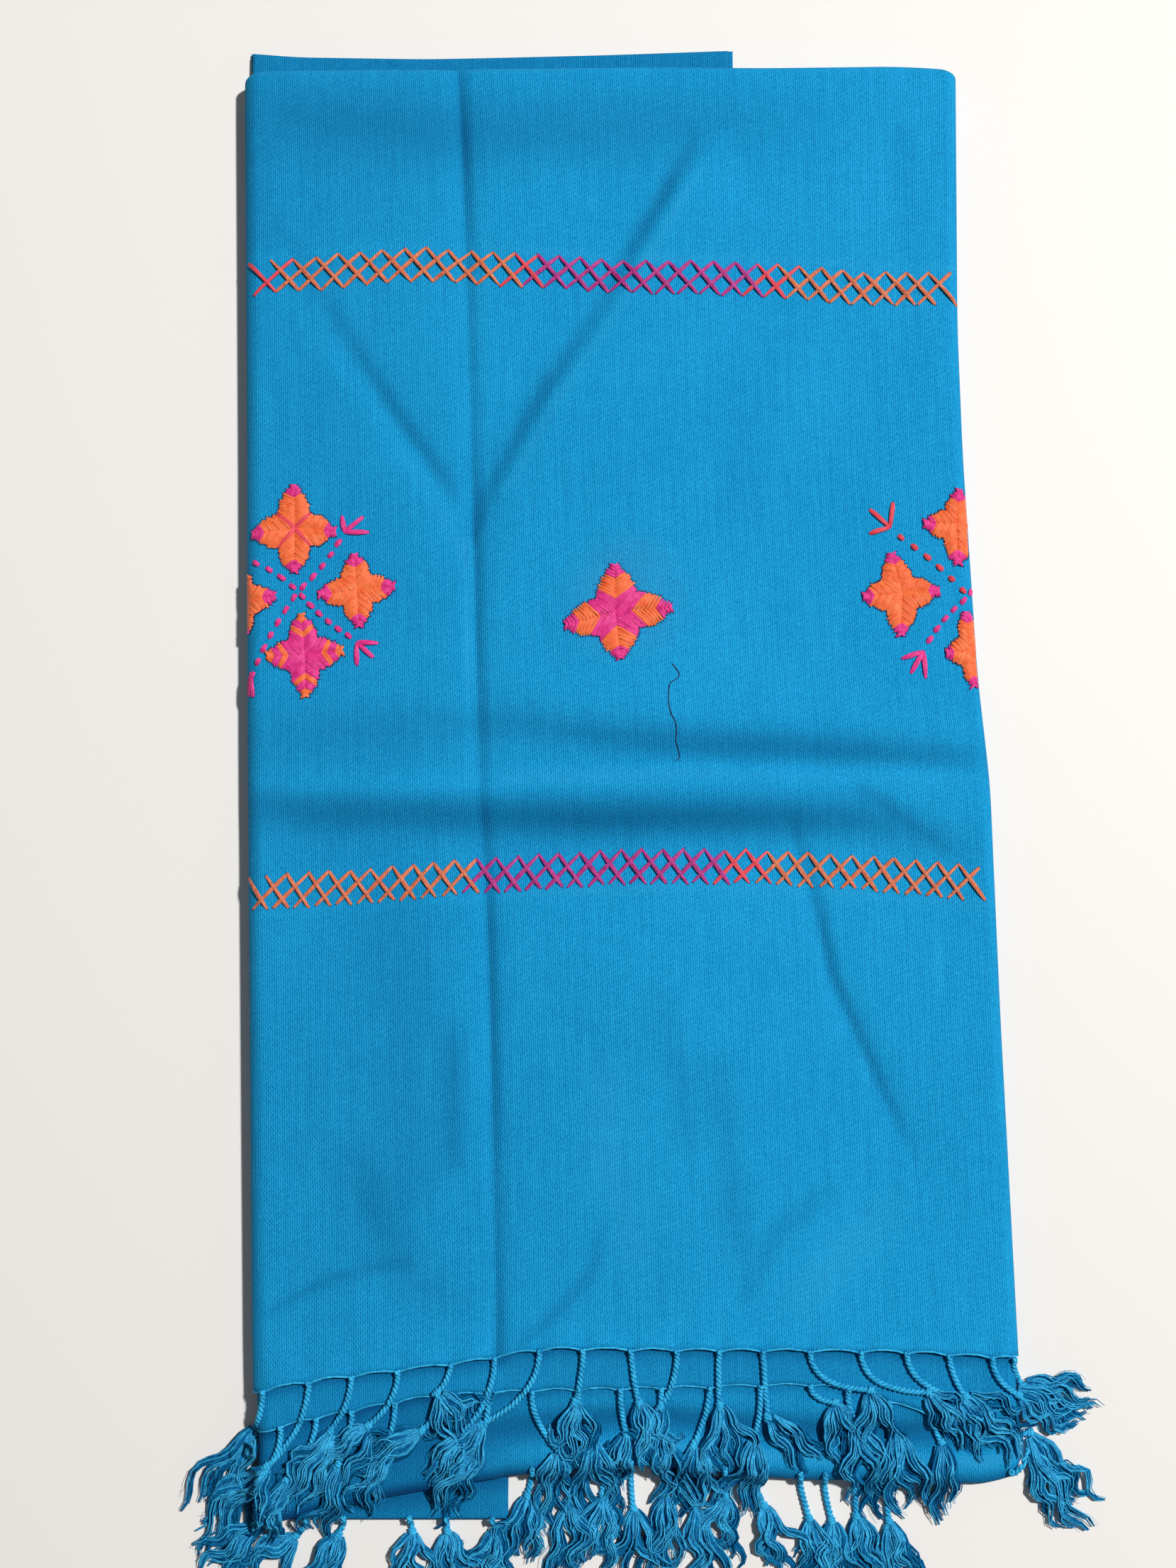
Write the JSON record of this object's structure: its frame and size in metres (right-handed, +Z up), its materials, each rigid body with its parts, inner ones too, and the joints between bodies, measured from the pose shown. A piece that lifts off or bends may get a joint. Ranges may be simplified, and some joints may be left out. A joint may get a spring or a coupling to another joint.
{
  "type": "folded fringed shawl",
  "caption": "Wool shawl folded into a flat packet, with a knotted twisted fringe along its open end and embroidered bands and stars on its upper face.",
  "frame": {"origin": "on the floor under the middle of the whole shawl's box", "axes": "+Y from the fringed end to the folded end, +X from the thick folded side to the other side, +Z up"},
  "size_m": [0.3658, 0.6264, 0.0213],
  "materials": {
    "cloth": "soft matt turquoise wool, fine upright rib, slight sheen",
    "fringe": "two-ply twisted yarn with soft loose tufts, matt",
    "orange_floss": "glossy stranded embroidery floss, orange",
    "magenta_floss": "glossy stranded embroidery floss, magenta",
    "red_floss": "glossy stranded embroidery floss, pink-red",
    "loose_thread": "one loose dark blue sewing thread"
  },
  "bodies": {
    "root": {"top_layer": "cloth", "second_layer": "cloth", "folded_core": "cloth", "under_flap": "cloth", "fringe_top": "fringe", "fringe_second": "fringe", "fringe_under_left": "fringe", "fringe_under_right": "fringe"}
  },
  "joints": []
}
